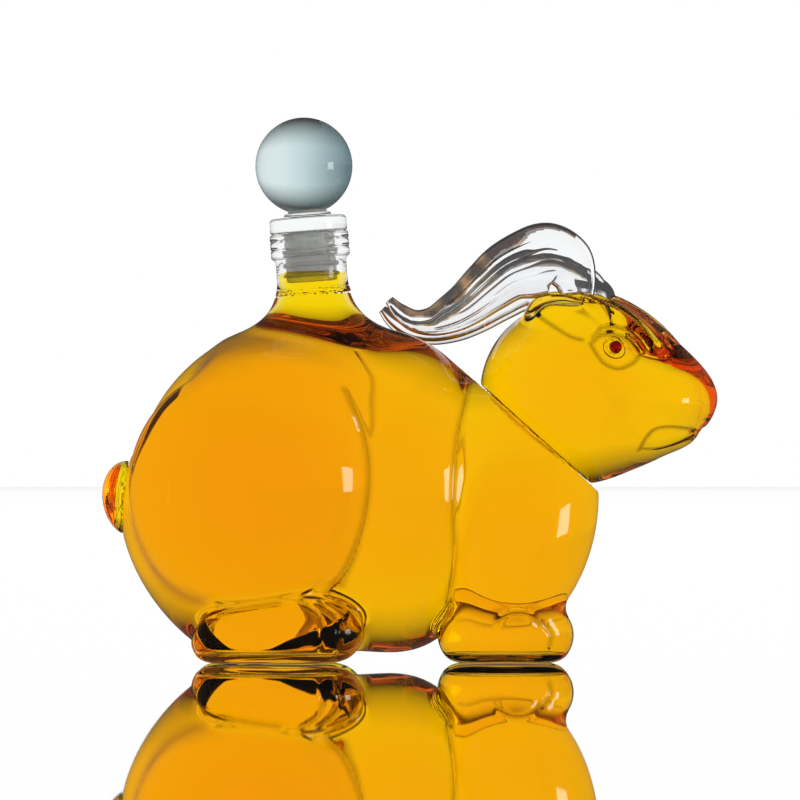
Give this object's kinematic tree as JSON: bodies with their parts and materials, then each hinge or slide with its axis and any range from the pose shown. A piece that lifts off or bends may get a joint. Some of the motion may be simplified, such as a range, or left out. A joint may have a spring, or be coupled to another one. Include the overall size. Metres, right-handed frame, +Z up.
{
  "type": "figural decanter",
  "caption": "Crouching rabbit liquor decanter in blown clear glass, with swept-back ears, red eye beads, a neck on its back and a ball stopper with a ribbed seal.",
  "frame": {"origin": "on the table under the middle of the decanter's length and width", "axes": "+X the way the rabbit's body faces, +Y the rabbit's left side, +Z up"},
  "size_m": [0.2087, 0.098, 0.1852],
  "materials": {
    "clear_glass": "polished",
    "smoke_glass": "polished",
    "red_glass": "polished",
    "silicone": "satin",
    "adhesive": "gloss"
  },
  "bodies": {
    "bottle": {"body_shell": "clear_glass", "head_shell": "clear_glass", "tail_bob": "clear_glass", "neck_tube": "clear_glass", "neck_collar": "clear_glass", "ear_right": "clear_glass", "ear_left": "clear_glass", "eye_lens_right": "clear_glass", "eye_lens_left": "clear_glass", "eye_bead_right": "red_glass", "eye_bead_left": "red_glass"},
    "stopper": {"stopper_cap": "clear_glass", "seal_sleeve": "silicone", "stopper_bond": "adhesive", "stopper_ball": "smoke_glass"}
  },
  "joints": [
    {"name": "stopper_lift", "type": "slide", "parent": "bottle", "child": "stopper", "axis": [-0.0732, 0, 0.9973], "range_m": [0, 0.045]}
  ]
}
